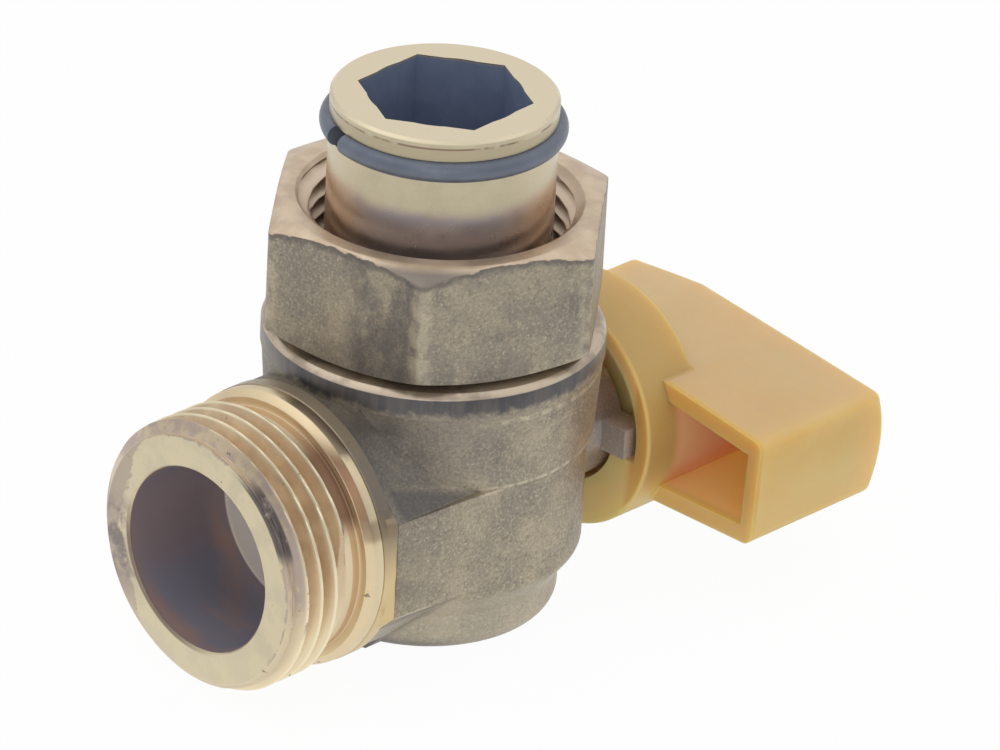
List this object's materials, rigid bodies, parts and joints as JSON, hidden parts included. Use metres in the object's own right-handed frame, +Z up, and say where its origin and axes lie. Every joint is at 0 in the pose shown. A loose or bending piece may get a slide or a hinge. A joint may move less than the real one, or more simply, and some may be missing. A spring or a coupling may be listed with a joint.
{
  "type": "gas cock",
  "caption": "Angle gas cock: forged brass body with a threaded branch, a screwed-in spigot that carries a loose hexagon union nut, and a yellow lever that turns a ball inside.",
  "frame": {"origin": "centre of the flat face under the foot, below the spigot's axis", "axes": "+Z up along the spigot, -X out of the threaded branch, +X along the stem, the lever to -Y at rest"},
  "size_m": [0.0682, 0.0404, 0.0521],
  "materials": {
    "forged_brass": "dull sand-blasted forging with turned faces",
    "nut_brass": "dull sand-blasted forging with turned faces",
    "turned_brass": "fine turned",
    "ball_chrome": "plated and polished",
    "ring_steel": "oiled spring wire",
    "seat_ptfe": "waxy white",
    "seal_rubber": "matt black",
    "handle_plastic": "fine satin moulding",
    "screw_steel": "zinc plated"
  },
  "bodies": {
    "valve": {"valve_body": "forged_brass", "union_spigot": "turned_brass", "spigot_seal": "seal_rubber", "upper_seat": "seat_ptfe", "lower_seat": "seat_ptfe", "snap_ring": "ring_steel"},
    "rotor": {"ball": "ball_chrome", "stem": "turned_brass", "thrust_washer": "seat_ptfe", "stem_seal_inner": "seal_rubber", "stem_seal_outer": "seal_rubber", "handle": "handle_plastic", "handle_screw": "screw_steel", "screw_washer": "screw_steel"},
    "nut": {"union_nut": "nut_brass"}
  },
  "joints": [
    {"name": "handle_turn", "type": "hinge", "parent": "valve", "child": "rotor", "pos_m": [0, 0, 0.01355], "axis": [1, 0, 0], "range_deg": [-3.19, 86.81]},
    {"name": "nut_spin", "type": "hinge", "parent": "valve", "child": "nut", "pos_m": [0, 0, 0.02905], "axis": [0, 0, 1], "continuous": true}
  ]
}
